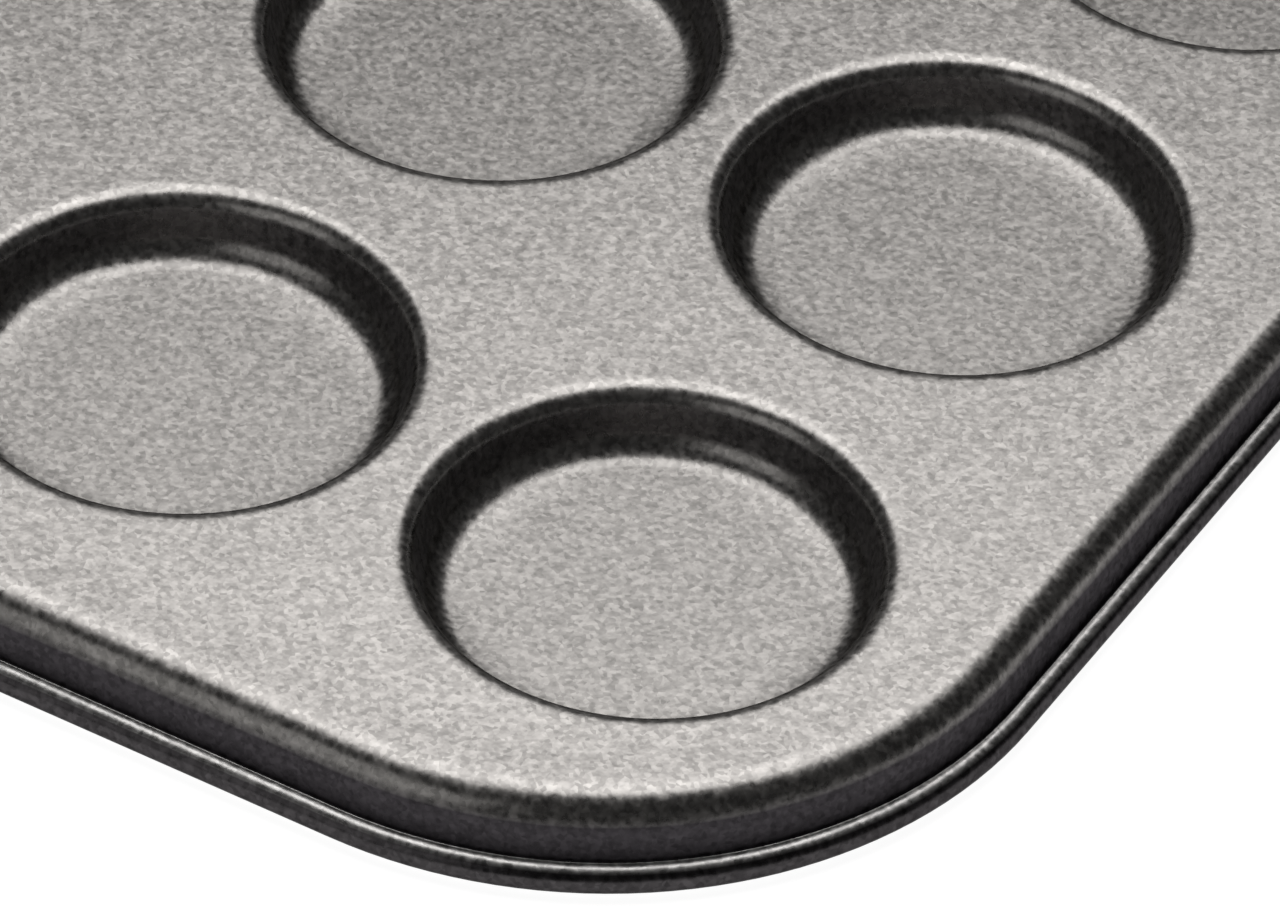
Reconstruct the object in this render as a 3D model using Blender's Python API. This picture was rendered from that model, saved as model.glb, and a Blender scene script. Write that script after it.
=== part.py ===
# Whoopie pie pan: one steel sheet pressed into twelve shallow round wells, with its edge
# turned down and rolled round a stiffening wire. Metres, +Z up. The origin is the middle
# of the footprint, on the plane that the rolled edge stands on.
import math

import bmesh
import bpy
from mathutils import Matrix, Vector

# Sheet and wire
SHEET = 0.0008               # coated steel sheet, measured through
WIRE_RADIUS = 0.0014         # stiffening wire inside the rolled edge
WIRE_GAP = 0.0003            # room between the wire and the curl round it

# Grid of wells: columns run along X and rows along Y
COLUMNS = 3
ROWS = 4
PITCH_X = 0.0813
PITCH_Y = 0.0895

# Section of one well, on the upper side of the sheet
MOUTH_RADIUS = 0.0379        # where the flat deck starts to turn down
WELL_DEPTH = 0.0100
LIP_RADIUS = 0.0036          # convex turn from the deck into the wall
FLOOR_FILLET = 0.0051        # concave turn from the wall into the floor
WALL_SLOPE = math.radians(72)

# Flat deck round the wells
MARGIN_X = 0.0512            # centre of an outer well to the end of the flat deck
MARGIN_Y = 0.0567
DECK_CORNER = 0.0660         # corner radius of the flat deck

# Section of the rim, on the upper side of the sheet
PAN_HEIGHT = 0.0151
EDGE_RADIUS = 0.0058         # convex turn from the deck into the skirt
SKIRT_SLOPE = math.radians(86)
VALLEY_RADIUS = 0.0003       # concave turn from the skirt out to the rolled edge
FOOT_FLAT = 0.0012           # width of the flat that the rolled edge stands on
CURL_END = math.radians(288)  # how far the sheet goes round the wire, from its top

# Fineness of the curved stretches
WELL_SIDES = 26
CORNER_STEPS = 9
LIP_STEPS = 2
FLOOR_FILLET_STEPS = 3
EDGE_STEPS = 3
VALLEY_STEPS = 2
OUTER_CURL_STEPS = 6
INNER_CURL_STEPS = 3
WIRE_SIDES = 8
SMOOTH_LIMIT = math.radians(40)

# Sizes that follow from the ones above. The curl is a polygon of short flats, so its
# corners lie a little further from the wire than the middles of the flats do.
CURL_STEP = math.pi / OUTER_CURL_STEPS
CURL_RADIUS = (WIRE_RADIUS + WIRE_GAP + SHEET) / math.cos(CURL_STEP / 2)
FOOT_ANGLE = math.asin(FOOT_FLAT / 2 / CURL_RADIUS)
CURL_HEIGHT = CURL_RADIUS * math.cos(FOOT_ANGLE)
DECK_HALF_X = (COLUMNS - 1) / 2 * PITCH_X + MARGIN_X
DECK_HALF_Y = (ROWS - 1) / 2 * PITCH_Y + MARGIN_Y


def arc(centre, radius, start, stop, steps):
    """Points (run, height) on an arc. Angles start at the top and turn outward."""
    points = []
    for k in range(steps + 1):
        angle = start + (stop - start) * k / steps
        points.append((centre[0] + radius * math.sin(angle), centre[1] + radius * math.cos(angle)))
    return points


def step_down(drop, convex, concave, slope, convex_steps, concave_steps):
    """Section of a wall that leaves one level and lands on another, drop below it.

    It is a convex arc, a straight slope and a concave arc, as points (run, height)
    from (0, 0) on. In a drop too low for both arcs they shrink until they meet.
    """
    room = min(1, drop / ((convex + concave) * (1 - math.cos(slope))))
    convex, concave = room * convex, room * concave
    straight = (drop - (convex + concave) * (1 - math.cos(slope))) / math.sin(slope)
    run = (convex + concave) * math.sin(slope) + straight * math.cos(slope)
    upper = arc((0, -convex), convex, 0, slope, convex_steps)
    lower = arc((run, concave - drop), concave, math.pi + slope, math.pi, concave_steps)
    return upper + lower


def well_section():
    """Section from the mouth to the floor, as points (radius, height)."""
    wall = step_down(WELL_DEPTH, LIP_RADIUS, FLOOR_FILLET, WALL_SLOPE, LIP_STEPS, FLOOR_FILLET_STEPS)
    return [(MOUTH_RADIUS - run, PAN_HEIGHT + height) for run, height in wall]


def skirt_section():
    """Section from the flat deck to the top of the rolled edge, as points (run, height)."""
    drop = PAN_HEIGHT - CURL_HEIGHT - CURL_RADIUS
    skirt = step_down(drop, EDGE_RADIUS, VALLEY_RADIUS, SKIRT_SLOPE, EDGE_STEPS, VALLEY_STEPS)
    return [(run, PAN_HEIGHT + height) for run, height in skirt]


def curl_centre():
    """Middle of the wire, as (run, height): the skirt lands on the curl right above it."""
    return skirt_section()[-1][0], CURL_HEIGHT


def rim_section():
    """Section from the flat deck over the skirt and round the wire, as points (run, height)."""
    centre = curl_centre()
    outer = arc(centre, CURL_RADIUS, 0, math.pi - FOOT_ANGLE, OUTER_CURL_STEPS)
    inner = arc(centre, CURL_RADIUS, math.pi + FOOT_ANGLE, CURL_END, INNER_CURL_STEPS)
    return skirt_section() + outer[1:] + inner


def corner_centre(point):
    """Middle of the deck's corner arc in the quarter of the pan that holds the point."""
    x = math.copysign(DECK_HALF_X - DECK_CORNER, point.x)
    y = math.copysign(DECK_HALF_Y - DECK_CORNER, point.y)
    return Vector((x, y, point.z))


def pan_outline(run, height):
    """Rounded rectangle that lies run outside the flat deck, at the given height."""
    points = []
    for quarter in range(4):
        for k in range(CORNER_STEPS + 1):
            angle = (quarter + k / CORNER_STEPS) * math.pi / 2
            middle = (quarter + 0.5) * math.pi / 2
            toward = Vector((math.cos(middle), math.sin(middle), height))
            centre = corner_centre(toward)
            radius = DECK_CORNER + run
            points.append((centre.x + radius * math.cos(angle), centre.y + radius * math.sin(angle), height))
    return points


def well_centres():
    """Middles of the wells on the deck, column by column."""
    centres = []
    for column in range(COLUMNS):
        for row in range(ROWS):
            x = (column - (COLUMNS - 1) / 2) * PITCH_X
            y = (row - (ROWS - 1) / 2) * PITCH_Y
            centres.append(Vector((x, y, PAN_HEIGHT)))
    return centres


def extrude_ring(mesh, ring, place):
    """Extrude a closed ring of edges, move the new points with place, and return the new ring."""
    grown = bmesh.ops.extrude_edge_only(mesh, edges=ring)["geom"]
    points = [item for item in grown if isinstance(item, bmesh.types.BMVert)]
    fresh = set(points)
    for point in points:
        point.co = place(point.co)
    return [item for item in grown
            if isinstance(item, bmesh.types.BMEdge) and fresh.issuperset(item.verts)]


def closed_ring(mesh, points):
    """Closed ring of edges through the points."""
    corners = [mesh.verts.new(point) for point in points]
    return [mesh.edges.new((a, b)) for a, b in zip(corners, corners[1:] + corners[:1])]


def round_ring(mesh, centre):
    """Mouth circle of a well, as a closed ring of edges."""
    circle = bmesh.ops.create_circle(
        mesh, segments=WELL_SIDES, radius=MOUTH_RADIUS, matrix=Matrix.Translation(centre))
    return list({edge for point in circle["verts"] for edge in point.link_edges})


def press_well(mesh, ring, centre):
    """Draw the mouth ring down the wall of a well, and close it with the flat floor."""
    for radius, height in well_section()[1:]:
        def place(point, radius=radius, height=height):
            outward = Vector((point.x - centre.x, point.y - centre.y, 0)).normalized()
            return Vector((centre.x, centre.y, height)) + outward * radius
        ring = extrude_ring(mesh, ring, place)
    bmesh.ops.contextual_create(mesh, geom=ring)


def roll_rim(mesh, ring):
    """Draw the deck's outline down the skirt and round the wire."""
    for run, height in rim_section()[1:]:
        def place(point, run=run, height=height):
            centre = corner_centre(point)
            outward = (point - centre).normalized()
            return Vector((centre.x, centre.y, height)) + outward * (DECK_CORNER + run)
        ring = extrude_ring(mesh, ring, place)


def coating():
    """Dark grey non-stick coat with a fine metallic grain, light where it faces the light."""
    return material("grey_nonstick_coat", (0.21, 0.205, 0.20), 0.42, 1.0)


def bare_steel():
    """Drawn steel wire."""
    return material("steel_wire", (0.55, 0.55, 0.56), 0.35, 1.0)


def material(name, colour, roughness, metallic):
    """Plain material of one colour."""
    made = bpy.data.materials.new(name)
    made.use_nodes = True
    shader = made.node_tree.nodes["Principled BSDF"]
    shader.inputs["Base Color"].default_value = (*colour, 1)
    shader.inputs["Roughness"].default_value = roughness
    shader.inputs["Metallic"].default_value = metallic
    return made


def add_object(name, data, finish):
    """Put data in the scene under its name, with its material."""
    made = bpy.data.objects.new(name, data)
    data.materials.append(finish)
    bpy.context.scene.collection.objects.link(made)
    return made


def make_pan_sheet():
    """The pressed sheet: its upper surface is modelled, and Solidify gives it its thickness."""
    mesh = bmesh.new()
    outline = closed_ring(mesh, pan_outline(0, PAN_HEIGHT))
    mouths = [(round_ring(mesh, centre), centre) for centre in well_centres()]
    deck_edges = outline + [edge for ring, _ in mouths for edge in ring]
    bmesh.ops.triangle_fill(mesh, use_beauty=True, edges=deck_edges, normal=(0, 0, 1))
    for ring, centre in mouths:
        press_well(mesh, ring, centre)
    roll_rim(mesh, outline)
    bmesh.ops.recalc_face_normals(mesh, faces=mesh.faces)
    deck_face = max(mesh.faces, key=lambda face: (face.calc_center_median().z, face.calc_area()))
    if deck_face.normal.z < 0:
        bmesh.ops.reverse_faces(mesh, faces=mesh.faces)
    data = bpy.data.meshes.new("pan_sheet")
    mesh.to_mesh(data)
    mesh.free()
    data.shade_smooth()
    data.set_sharp_from_angle(angle=SMOOTH_LIMIT)
    sheet = add_object("pan_sheet", data, coating())
    thickness = sheet.modifiers.new("sheet thickness", "SOLIDIFY")
    thickness.thickness = SHEET
    thickness.offset = -1
    thickness.use_even_offset = True
    thickness.use_quality_normals = True


def make_rim_wire():
    """The stiffening wire: one closed loop in the middle of the curl."""
    data = bpy.data.curves.new("rim_wire", "CURVE")
    data.dimensions = "3D"
    data.twist_mode = "Z_UP"
    data.bevel_depth = WIRE_RADIUS
    data.bevel_resolution = WIRE_SIDES // 2 - 2    # Blender's count for that many sides
    path = pan_outline(*curl_centre())
    spline = data.splines.new("POLY")
    spline.points.add(len(path) - 1)
    for point, place in zip(spline.points, path):
        point.co = (*place, 1)
    spline.use_cyclic_u = True
    spline.use_smooth = True
    add_object("rim_wire", data, bare_steel())


def main():
    for old in list(bpy.data.objects):
        bpy.data.objects.remove(old, do_unlink=True)
    make_pan_sheet()
    make_rim_wire()


main()
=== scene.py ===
import math

import bmesh
import bpy
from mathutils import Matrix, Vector


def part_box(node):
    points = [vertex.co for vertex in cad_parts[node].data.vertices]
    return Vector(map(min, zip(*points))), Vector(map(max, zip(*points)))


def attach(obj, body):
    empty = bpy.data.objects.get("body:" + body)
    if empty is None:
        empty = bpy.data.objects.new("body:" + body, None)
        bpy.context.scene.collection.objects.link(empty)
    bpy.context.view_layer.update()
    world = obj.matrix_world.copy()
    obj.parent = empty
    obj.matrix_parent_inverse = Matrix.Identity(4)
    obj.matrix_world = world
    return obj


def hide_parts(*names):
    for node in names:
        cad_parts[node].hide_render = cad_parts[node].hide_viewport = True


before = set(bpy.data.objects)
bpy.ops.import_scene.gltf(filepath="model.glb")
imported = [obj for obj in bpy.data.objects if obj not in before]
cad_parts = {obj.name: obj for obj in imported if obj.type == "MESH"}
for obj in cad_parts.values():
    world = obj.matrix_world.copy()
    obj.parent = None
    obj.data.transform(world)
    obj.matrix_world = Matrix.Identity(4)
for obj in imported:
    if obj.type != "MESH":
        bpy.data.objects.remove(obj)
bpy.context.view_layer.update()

# Sheet and wire, as in the CAD model
SHEET = 0.0008
WIRE_RADIUS = 0.0014
WIRE_GAP = 0.0003
CURL_RADIUS = WIRE_RADIUS + WIRE_GAP + SHEET

# Grid of wells: columns run along X and rows along Y
COLUMNS = 3
ROWS = 4
PITCH_X = 0.0813
PITCH_Y = 0.0895

# Section of one well
MOUTH_RADIUS = 0.0379        # where the flat deck starts to turn down
WELL_DEPTH = 0.0100
LIP_RADIUS = 0.0036          # convex turn from the deck into the wall
FLOOR_FILLET = 0.0051        # concave turn from the wall towards the floor
WALL_SLOPE = math.radians(72)
EASE_RADIUS = 0.035          # slow curve in which that turn runs out on the floor
EASE_SLOPE = math.radians(6)

# Section of the rim
EDGE_RADIUS = 0.0058         # convex turn from the deck into the skirt
SKIRT_SLOPE = math.radians(86)
VALLEY_RADIUS = 0.0003       # concave turn from the skirt out to the bead
CURL_END = math.radians(288)  # how far the sheet goes round the wire, from its top
DECK_CORNER = 0.0660
CREST_RISE = 0.0001          # how much the deck rises to its edge before it turns down
CREST_WIDTH = 0.0075
CREST_STEPS = 8

# Fineness of the mesh
WELL_SIDES = 108
CORNER_STEPS = 36
TURN_STEP = math.radians(7.5)
FLAT_BORDER = 0.0007         # flat ring beside each turn, which keeps the deck's shading flat
SMOOTH_LIMIT = math.radians(40)

# Colours of the coat: its own grey, darker colours of painted shade, and a painted highlight
COAT_COLOUR = (0.212, 0.203, 0.194)
# painted shade: darker colour on the steep walls of the wells
WALL_PAINTED_SHADE = (0.105, 0.097, 0.097)
# painted shade: dark colour on the steep skirt
SKIRT_PAINTED_SHADE = (0.035, 0.032, 0.035)
FOOT_PAINTED_SHADE = (0.010, 0.009, 0.010)    # painted shade: darkest colour, at the foot of the skirt and in the crease above the bead
# painted shade: dark colour on the steep sides of the bead
BEAD_SIDE_PAINTED_SHADE = (0.058, 0.054, 0.056)
BEAD_TOP_PAINTED_HIGHLIGHT = (0.43, 0.42, 0.41)     # painted highlight: light colour on the level top of the bead
COAT_EDGE_TINT = (0.50, 0.50, 0.50)    # how little the rough coat mirrors at a glancing angle

# Coat of each stretch of the sheet. It has a level colour and a steep one, and falls is the
# range between the two, as the upright part of the surface's normal. The steep colour is
# painted shade, and down the skirt it turns into the foot colour, darker painted shade. On the
# bead and in the crease the level colour is a painted highlight. Metal is the share of metal
# flakes where the sheet is steep: on the well walls fewer flakes lie flat, so more of the
# pigment shows.
COATS = {
    "deck": dict(level=COAT_COLOUR, steep=WALL_PAINTED_SHADE, foot=WALL_PAINTED_SHADE, falls=(0.28, 0.50), metal=0.75),
    "skirt": dict(level=COAT_COLOUR, steep=SKIRT_PAINTED_SHADE, foot=FOOT_PAINTED_SHADE, falls=(0.32, 0.57), metal=1.0),
    "crease": dict(level=BEAD_TOP_PAINTED_HIGHLIGHT, steep=FOOT_PAINTED_SHADE, foot=FOOT_PAINTED_SHADE, falls=(0.72, 0.85), metal=1.0),
    "bead": dict(level=BEAD_TOP_PAINTED_HIGHLIGHT, steep=BEAD_SIDE_PAINTED_SHADE, foot=BEAD_SIDE_PAINTED_SHADE, falls=(0.72, 0.85), metal=1.0),
}

# Texture of the coat, and painted shade on the well floors
WELL_FLOOR_PAINTED_SHADE = 0.86            # painted shade: brightness from the well floors down, against the deck's
WELL_FLOOR_SHADE_REACH = FLOOR_FILLET / 2    # height above the well floors at which that painted shade ends
LEVEL_ROUGHNESS = 0.35
STEEP_ROUGHNESS = 0.29       # the coat lies smoother where the sheet was drawn
DRAWN_FALLS = (0.80, 1.0)    # range between those two, as the upright part of the normal
ROUGHNESS_SPREAD = 0.05      # how much the grain changes the roughness, either way
SPECKLE = (0.77, 1.23)       # brightness of the darkest and of the lightest flakes and mottles
FLAKE_SCALE = 1300           # flakes per metre
GRAIN_SCALE = 760            # mottles per metre
GRAIN_DETAIL = 1.0
GRAIN_FINENESS = 0.55
GRAIN_HEIGHT = 0.00003
WAVE_SCALE = 18              # slow unevenness of the pressed sheet, waves per metre
WAVE_DETAIL = 1.0
WAVE_HEIGHT = 0.00009
NOISE_RANGE = (0.3, 0.7)     # where nearly all values of a noise lie

# Steel of the wire: darkest and lightest colour, least and greatest roughness, and fine marks
STEEL_COLOURS = ((0.48, 0.48, 0.49), (0.62, 0.62, 0.63))
STEEL_ROUGHNESS = (0.28, 0.42)
MARK_SCALE = 900             # marks per metre
MARK_DETAIL = 3.0
MARK_HEIGHT = 0.00001

# Camera, fitted to the photograph's wells and rim: degrees, and millimetres for the lens
CAMERA_PLACE = (0.8332, -1.4859, 1.4266)
CAMERA_TURN = (47.972, -1.915, 30.883)
CAMERA_LENS = 399.91
CAMERA_SENSOR = 36
CAMERA_REACH = 50            # how far it sees, in metres

# Lights: flat boxes that face the stretch of deck that the camera sees. Bearings turn from +X
# to +Y, and heights stand above the floor, both in degrees. Radiance 1 is white.
LIT_POINT = Vector((0.045, -0.085, 0.0151))
SOFTBOX = dict(bearing=123.8, height=67.0, distance=0.90, width=0.85, depth=0.885, radiance=3.98)
FILL = dict(bearing=253, height=26, distance=1.20, width=0.92, depth=0.76, radiance=0.72)
WORLD_GREY = 0.065

# Stage: a round floor with a low wall round it
FLOOR_RADIUS = 12
FLOOR_SIDES = 64
FLOOR_GAP = 0.0002           # how far the floor lies below the pan
BACKDROP_HEIGHT = 0.8
FLOOR_ALBEDO = 0.25          # share of the light that the floor scatters
FLOOR_GLOW = 0.93            # added where the camera or a mirror-like surface sees it


def arc(centre, radius, start, stop):
    """Points (run, height) on an arc. Angles start at the top and turn outward."""
    steps = max(2, math.ceil(abs(stop - start) / TURN_STEP))
    points = []
    for k in range(steps + 1):
        angle = start + (stop - start) * k / steps
        points.append((centre[0] + radius * math.sin(angle), centre[1] + radius * math.cos(angle)))
    return points


def step_down(drop, convex, concave, slope, landing=0.0):
    """Section of a wall that leaves one level and lands on another, drop below it.

    Its last turn stops at the landing slope, and would reach the lower level if it went on.
    """
    straight = (drop - (convex + concave) * (1 - math.cos(slope))) / math.sin(slope)
    run = (convex + concave) * math.sin(slope) + straight * math.cos(slope)
    upper = arc((0, -convex), convex, 0, slope)
    lower = arc((run, concave - drop), concave, math.pi + slope, math.pi + landing)
    return upper + lower


def well_section(deck):
    """Section from the flat deck beside the mouth to the flat floor, as points (radius, height).

    The wall's tight turn hands over to the slow curve, which lands lower by the sink than
    the tight turn would.
    """
    sink = (EASE_RADIUS - FLOOR_FILLET) * (1 - math.cos(EASE_SLOPE))
    wall = step_down(WELL_DEPTH - sink, LIP_RADIUS, FLOOR_FILLET, WALL_SLOPE, EASE_SLOPE)
    end = wall[-1][0] + EASE_RADIUS * math.sin(EASE_SLOPE)
    wall += arc((end, EASE_RADIUS - WELL_DEPTH), EASE_RADIUS, math.pi + EASE_SLOPE, math.pi)[1:]
    points = [(MOUTH_RADIUS + FLAT_BORDER, deck)]
    points += [(MOUTH_RADIUS - run, deck + height) for run, height in wall]
    points.append((points[-1][0] - FLAT_BORDER, points[-1][1]))
    return points


def crest(top):
    """Gentle rise of the deck to the edge's turn, as points (run, height)."""
    points = []
    for k in range(CREST_STEPS + 1):
        share = k / CREST_STEPS
        run = -FLAT_BORDER - CREST_WIDTH * (1 - share)
        points.append((run, top - CREST_RISE * (1 + math.cos(math.pi * share)) / 2))
    return points


def rim_section(top):
    """Section from the flat deck over the skirt and round the wire, as points (run, height)."""
    skirt = step_down(top - 2 * CURL_RADIUS, EDGE_RADIUS, VALLEY_RADIUS, SKIRT_SLOPE)
    centre = (skirt[-1][0], CURL_RADIUS)
    points = crest(top)
    points += [(run, top + height) for run, height in skirt]
    return points + arc(centre, CURL_RADIUS, 0, CURL_END)[1:]


def outline(half_x, half_y, run, height):
    """Rounded rectangle that lies run outside a flat deck of these half sides."""
    points = []
    for quarter in range(4):
        middle = (quarter + 0.5) * math.pi / 2
        x = math.copysign(half_x - DECK_CORNER, math.cos(middle))
        y = math.copysign(half_y - DECK_CORNER, math.sin(middle))
        for k in range(CORNER_STEPS + 1):
            angle = (quarter + k / CORNER_STEPS) * math.pi / 2
            radius = DECK_CORNER + run
            points.append((x + radius * math.cos(angle), y + radius * math.sin(angle), height))
    return points


def circle(centre, radius, height, sides):
    """Level circle of points."""
    points = []
    for k in range(sides):
        angle = 2 * math.pi * k / sides
        x = centre[0] + radius * math.cos(angle)
        y = centre[1] + radius * math.sin(angle)
        points.append((x, y, height))
    return points


def well_centres():
    """Middles of the wells, column by column."""
    centres = []
    for column in range(COLUMNS):
        for row in range(ROWS):
            x = (column - (COLUMNS - 1) / 2) * PITCH_X
            y = (row - (ROWS - 1) / 2) * PITCH_Y
            centres.append((x, y))
    return centres


def skin(mesh, rings):
    """Faces between each closed ring of points and the next. Returns the first and last rings."""
    made = [[mesh.verts.new(point) for point in ring] for ring in rings]
    for near, far in zip(made, made[1:]):
        for k in range(len(near)):
            mesh.faces.new((near[k - 1], near[k], far[k], far[k - 1]))
    return made[0], made[-1]


def ring_edges(mesh, ring):
    """Edges of a closed ring of vertices."""
    return [mesh.edges.get((ring[k - 1], ring[k])) for k in range(len(ring))]


def rim_coat(height):
    """Number of the coat on the rim at a height, in the order of COATS."""
    if height < 2 * CURL_RADIUS:
        name = "bead"
    elif height < 2 * CURL_RADIUS + VALLEY_RADIUS:
        name = "crease"
    else:
        name = "skirt"
    return list(COATS).index(name)


def add_object(name, mesh):
    """Put a finished mesh in the scene under its name."""
    data = bpy.data.meshes.new(name)
    mesh.to_mesh(data)
    mesh.free()
    made = bpy.data.objects.new(name, data)
    bpy.context.scene.collection.objects.link(made)
    return made


def make_pan_sheet():
    """The pressed sheet: the CAD sheet with smooth turns, eased well floors and a slight crest.

    Its outer sizes follow from the CAD sheet's box. Its upper surface is modelled, and
    Solidify gives it its thickness.
    """
    low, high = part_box("pan_sheet")
    rim = rim_section(high.z)
    reach = max(run for run, height in rim)
    half_x = (high.x - low.x) / 2 - reach
    half_y = (high.y - low.y) / 2 - reach
    mesh = bmesh.new()
    deck_edge, _ = skin(mesh, [outline(half_x, half_y, run, height) for run, height in rim])
    for face in mesh.faces:
        face.material_index = rim_coat(face.calc_center_median().z)
    openings = ring_edges(mesh, deck_edge)
    well = well_section(high.z - CREST_RISE)
    for centre in well_centres():
        mouth, bottom = skin(mesh, [circle(centre, radius, height, WELL_SIDES) for radius, height in well])
        openings += ring_edges(mesh, mouth)
        mesh.faces.new(bottom)
    bmesh.ops.triangle_fill(mesh, use_beauty=True, edges=openings, normal=(0, 0, 1))
    bmesh.ops.recalc_face_normals(mesh, faces=mesh.faces)
    if max(mesh.faces, key=lambda face: face.calc_center_median().z).normal.z < 0:
        bmesh.ops.reverse_faces(mesh, faces=mesh.faces)
    sheet = add_object("pressed_sheet", mesh)
    sheet.data.shade_smooth()
    sheet.data.set_sharp_from_angle(angle=SMOOTH_LIMIT)
    thickness = sheet.modifiers.new("sheet thickness", "SOLIDIFY")
    thickness.thickness = SHEET
    thickness.offset = -1
    thickness.use_even_offset = True
    thickness.use_quality_normals = True
    return sheet


def feed(socket, value):
    """Link a value from another node to the socket, or set a number or an opaque colour there."""
    if isinstance(value, bpy.types.NodeSocket):
        socket.id_data.links.new(value, socket)
    elif socket.type == "RGBA":
        socket.default_value = (*value, 1)
    else:
        socket.default_value = value


def new_material(name):
    """Material, its Principled shader, and the function that adds a node with its inputs."""
    made = bpy.data.materials.new(name)
    made.use_nodes = True
    tree = made.node_tree

    def add(kind, **inputs):
        node = tree.nodes.new(kind)
        for key, value in inputs.items():
            feed(node.inputs[key.replace("_", " ")], value)
        return node

    return made, tree.nodes["Principled BSDF"], add


def maths(add, operation, *values):
    """Result of a maths operation on one or two values."""
    node = add("ShaderNodeMath")
    node.operation = operation
    for socket, value in zip(node.inputs, values):
        feed(socket, value)
    return node.outputs["Value"]


def along(add, vector, axis):
    """Part of a vector along the axis X, Y or Z."""
    return add("ShaderNodeSeparateXYZ", Vector=vector).outputs[axis]


def ranged(add, value, old, new):
    """Value moved from its old range to a new one, clamped."""
    node = add("ShaderNodeMapRange", Value=value)
    for key, limit in zip(("From Min", "From Max", "To Min", "To Max"), (*old, *new)):
        feed(node.inputs[key], limit)
    return node.outputs["Result"]


def blend_colours(add, factor, low, high):
    """Colour that goes from low to high with the factor."""
    mix = add("ShaderNodeMix")
    mix.data_type = "RGBA"
    feed(mix.inputs["Factor"], factor)
    colours = [socket for socket in mix.inputs if socket.type == "RGBA"]
    feed(colours[0], low)
    feed(colours[1], high)
    return next(socket for socket in mix.outputs if socket.type == "RGBA")


def scale_colour(add, colour, factor):
    """Colour made brighter or darker by the factor."""
    node = add("ShaderNodeVectorMath")
    node.operation = "SCALE"
    feed(node.inputs["Vector"], colour)
    feed(node.inputs["Scale"], factor)
    return node.outputs["Vector"]


def coat(name, level, steep, foot, falls, metal):
    """Grey non-stick coat with a fine grain of metal flakes, and painted shade where steep."""
    made, shader, add = new_material(name)
    place = add("ShaderNodeTexCoord")
    spot = place.outputs["Object"]
    height = along(add, spot, "Z")
    upright = maths(add, "ABSOLUTE", along(add, place.outputs["Normal"], "Z"))
    flatness = ranged(add, upright, falls, (0, 1))
    flakes = add("ShaderNodeTexVoronoi", Vector=spot, Scale=FLAKE_SCALE)
    flake = along(add, flakes.outputs["Color"], "X")
    grain = add("ShaderNodeTexNoise", Vector=spot, Scale=GRAIN_SCALE)
    feed(grain.inputs["Detail"], GRAIN_DETAIL)
    feed(grain.inputs["Roughness"], GRAIN_FINENESS)
    mottle = grain.outputs["Fac"]
    waves = add("ShaderNodeTexNoise", Vector=spot, Scale=WAVE_SCALE, Detail=WAVE_DETAIL)

    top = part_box("pan_sheet")[1].z
    floor = top - WELL_DEPTH
    # Painted shade: steep faces take the steep colour, which darkens into the foot colour down the skirt
    climb = ranged(add, height, (2 * CURL_RADIUS, top - EDGE_RADIUS), (0, 1))
    # Painted highlight: on the bead and in the crease the level colour is lighter
    colour = blend_colours(add, flatness, blend_colours(add, climb, foot, steep), level)
    # Painted shade: the well floors darker than the deck; the flakes and mottles then add the coat's own
    # grain
    shade = ranged(add, height, (floor, floor + WELL_FLOOR_SHADE_REACH), (WELL_FLOOR_PAINTED_SHADE, 1))
    for value, old in ((mottle, NOISE_RANGE), (flake, (0, 1))):
        shade = maths(add, "MULTIPLY", shade, ranged(add, value, old, SPECKLE))
    feed(shader.inputs["Base Color"], scale_colour(add, colour, shade))
    feed(shader.inputs["Specular Tint"], COAT_EDGE_TINT)

    if metal < 1:
        metal = ranged(add, flatness, (0, 1), (metal, 1))
    feed(shader.inputs["Metallic"], metal)
    smoothness = ranged(add, upright, DRAWN_FALLS, (STEEP_ROUGHNESS, LEVEL_ROUGHNESS))
    unevenness = ranged(add, mottle, NOISE_RANGE, (-ROUGHNESS_SPREAD, ROUGHNESS_SPREAD))
    feed(shader.inputs["Roughness"], maths(add, "ADD", smoothness, unevenness))
    slow = add("ShaderNodeBump", Height=waves.outputs["Fac"], Distance=WAVE_HEIGHT)
    fine = add("ShaderNodeBump", Height=mottle, Distance=GRAIN_HEIGHT, Normal=slow.outputs["Normal"])
    feed(shader.inputs["Normal"], fine.outputs["Normal"])
    return made


def drawn_steel():
    """Bare steel wire with fine marks."""
    made, shader, add = new_material("drawn_steel_wire")
    place = add("ShaderNodeTexCoord")
    noise = add("ShaderNodeTexNoise", Vector=place.outputs["Object"], Scale=MARK_SCALE, Detail=MARK_DETAIL)
    marks = noise.outputs["Fac"]
    bump = add("ShaderNodeBump", Height=marks, Distance=MARK_HEIGHT)
    feed(shader.inputs["Base Color"], blend_colours(add, marks, *STEEL_COLOURS))
    feed(shader.inputs["Metallic"], 1.0)
    feed(shader.inputs["Roughness"], ranged(add, marks, NOISE_RANGE, STEEL_ROUGHNESS))
    feed(shader.inputs["Normal"], bump.outputs["Normal"])
    return made


def stage_white():
    """White that the camera and mirror-like surfaces see, and that takes the pan's shadow."""
    made, shader, add = new_material("stage_white")
    tree = made.node_tree
    tree.nodes.remove(shader)
    matt = add("ShaderNodeBsdfDiffuse", Color=(FLOOR_ALBEDO,) * 3)
    path = add("ShaderNodeLightPath")
    seen = path.outputs["Is Camera Ray"]
    for kind in ("Is Glossy Ray", "Is Transmission Ray"):
        seen = maths(add, "MAXIMUM", seen, path.outputs[kind])
    glow = add("ShaderNodeEmission", Strength=maths(add, "MULTIPLY", seen, FLOOR_GLOW))
    both = add("ShaderNodeAddShader")
    feed(both.inputs[0], matt.outputs["BSDF"])
    feed(both.inputs[1], glow.outputs["Emission"])
    feed(tree.nodes["Material Output"].inputs["Surface"], both.outputs["Shader"])
    return made


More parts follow.
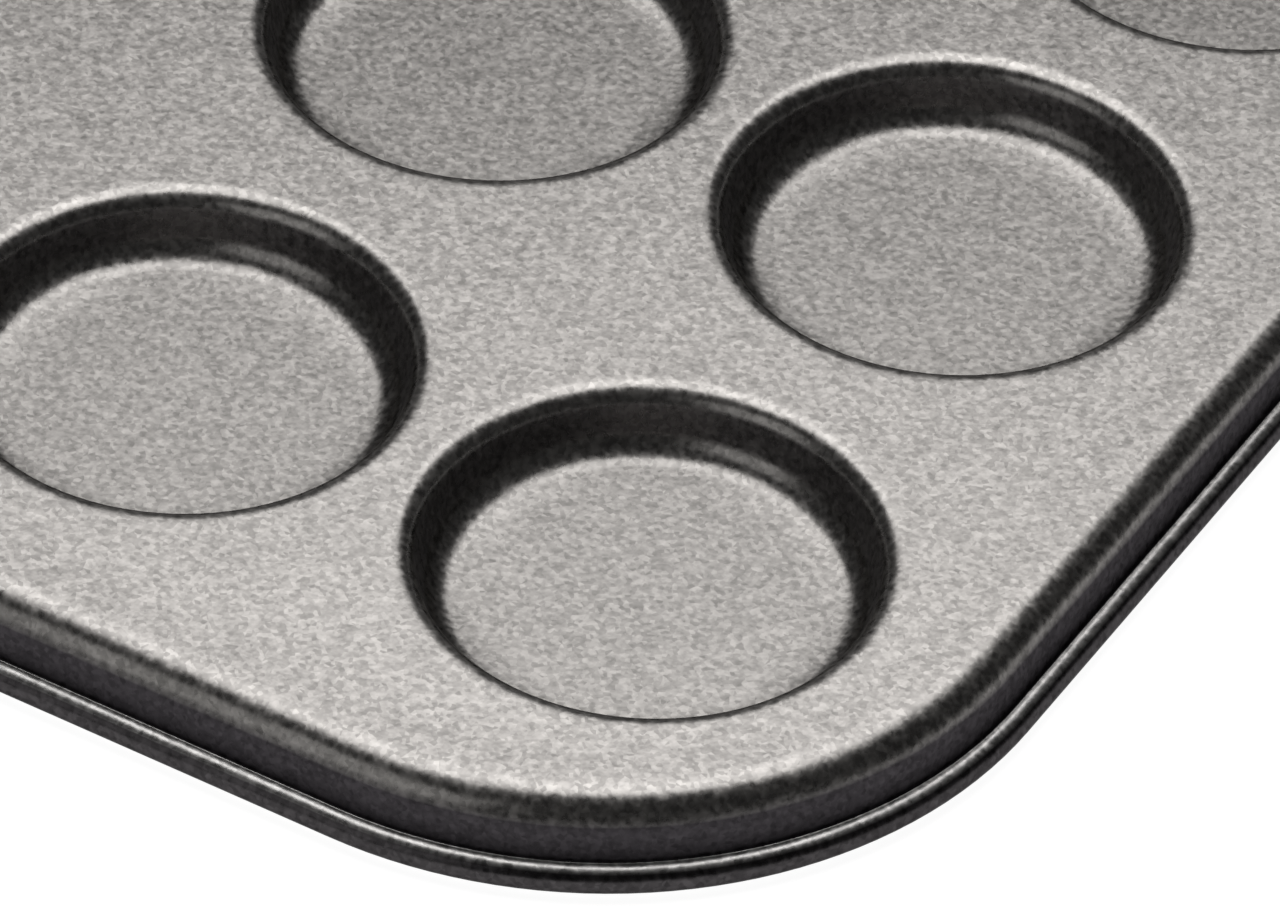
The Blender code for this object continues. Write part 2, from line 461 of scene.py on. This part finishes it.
def make_stage():
    """Round floor with a low wall round its edge."""
    mesh = bmesh.new()
    rings = [circle((0, 0), FLOOR_RADIUS, height, FLOOR_SIDES) for height in (BACKDROP_HEIGHT, 0)]
    _, bottom = skin(mesh, rings)
    mesh.faces.new(bottom)
    floor = add_object("floor", mesh)
    floor.data.materials.append(stage_white())
    floor.location.z = -FLOOR_GAP


def make_light(name, bearing, height, distance, width, depth, radiance):
    """Rectangular light that faces the lit point."""
    data = bpy.data.lights.new(name, "AREA")
    data.shape = "RECTANGLE"
    data.size = width
    data.size_y = depth
    data.energy = math.pi * radiance * width * depth
    light = bpy.data.objects.new(name, data)
    bpy.context.scene.collection.objects.link(light)
    turn, lift = math.radians(bearing), math.radians(height)
    away = Vector((math.cos(turn) * math.cos(lift), math.sin(turn) * math.cos(lift), math.sin(lift)))
    light.location = LIT_POINT + distance * away
    light.rotation_euler = away.to_track_quat("Z", "Y").to_euler()
    light.visible_camera = False


def make_world():
    """Dim grey room round the stage."""
    world = bpy.data.worlds.new("dim_room")
    world.use_nodes = True
    feed(world.node_tree.nodes["Background"].inputs["Color"], (WORLD_GREY,) * 3)
    bpy.context.scene.world = world


def make_camera():
    """Camera at the photograph's viewing angle."""
    data = bpy.data.cameras.new("camera")
    data.lens = CAMERA_LENS
    data.sensor_width = CAMERA_SENSOR
    data.clip_end = CAMERA_REACH
    camera = bpy.data.objects.new("camera", data)
    camera.location = CAMERA_PLACE
    camera.rotation_euler = [math.radians(angle) for angle in CAMERA_TURN]
    bpy.context.scene.collection.objects.link(camera)
    bpy.context.scene.camera = camera


def main():
    sheet = make_pan_sheet()
    for name, finish in COATS.items():
        sheet.data.materials.append(coat("grey_nonstick_coat_" + name, **finish))
    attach(sheet, "root")
    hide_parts("pan_sheet")
    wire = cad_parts["rim_wire"]
    wire.material_slots[0].material = drawn_steel()
    make_stage()
    make_light("softbox", **SOFTBOX)
    make_light("fill_light", **FILL)
    make_world()
    make_camera()
    bpy.context.scene.view_settings.view_transform = "Standard"


main()
